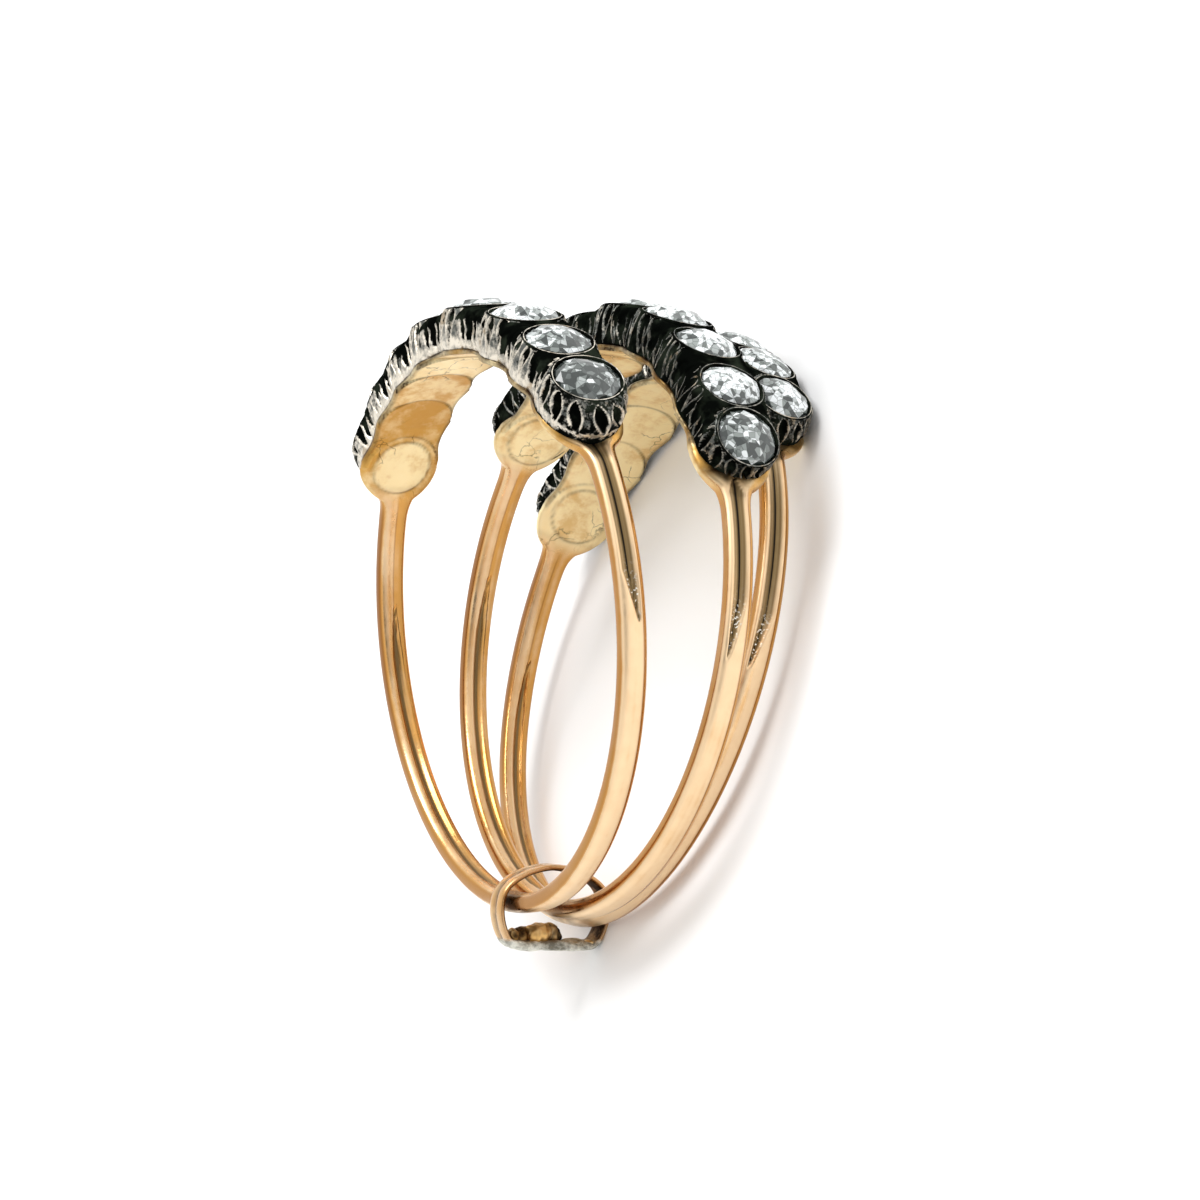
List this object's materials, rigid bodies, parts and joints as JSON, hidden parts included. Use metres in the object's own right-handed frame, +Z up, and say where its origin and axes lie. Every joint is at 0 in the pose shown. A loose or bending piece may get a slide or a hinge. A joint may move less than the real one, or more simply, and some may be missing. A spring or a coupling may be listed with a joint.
{
  "type": "stacking ring",
  "caption": "Finger ring of loose hoops held by a small collar, each hoop with a scalloped row of old-cut stones in blackened collets.",
  "frame": {"origin": "middle of the bounding box's underside, on the surface that the ring lies on", "axes": "+Z up out of that surface, near the lower hoop's own axis; +Y from the collar to the stones; +X towards the ends of the rows that carry stone 1"},
  "size_m": [0.0204, 0.0214, 0.0111],
  "materials": {
    "gold": "worn polish",
    "silver": "blackened, rubbed pale on the ribs",
    "stone": "polished facets"
  },
  "bodies": {
    "upper_hoop": {"hoop_upper": "gold", "collets_upper": "silver", "stone_upper_1": "stone", "stone_upper_2": "stone", "stone_upper_3": "stone", "stone_upper_4": "stone", "stone_upper_5": "stone", "stone_upper_6": "stone", "stone_upper_7": "stone", "stone_upper_8": "stone"},
    "middle_hoop": {"hoop_middle": "gold", "collets_middle": "silver", "stone_middle_1": "stone", "stone_middle_2": "stone", "stone_middle_3": "stone", "stone_middle_4": "stone", "stone_middle_5": "stone", "stone_middle_6": "stone", "stone_middle_7": "stone", "stone_middle_8": "stone"},
    "lower_hoop": {"hoop_lower": "gold", "collets_lower": "silver", "stone_lower_1": "stone", "stone_lower_2": "stone", "stone_lower_3": "stone", "stone_lower_4": "stone", "stone_lower_5": "stone", "stone_lower_6": "stone", "stone_lower_7": "stone", "stone_lower_8": "stone"},
    "collar": {"collar": "gold"}
  },
  "joints": [
    {"name": "middle_turn", "type": "hinge", "parent": "lower_hoop", "child": "middle_hoop", "pos_m": [-0.00077, -0.00899, 0.00067], "axis": [1, -0.0002, -0.01], "range_deg": [0, 90]},
    {"name": "upper_turn", "type": "hinge", "parent": "middle_hoop", "child": "upper_hoop", "pos_m": [0.00024, -0.00918, 0.00305], "axis": [0.9987, 0.0124, -0.0495], "range_deg": [-4, 70]},
    {"name": "collar_rock", "type": "hinge", "parent": "middle_hoop", "child": "collar", "pos_m": [0.00011, -0.00903, 0.0019], "axis": [0.9999, 0, -0.0105], "range_deg": [-10, 10]}
  ]
}
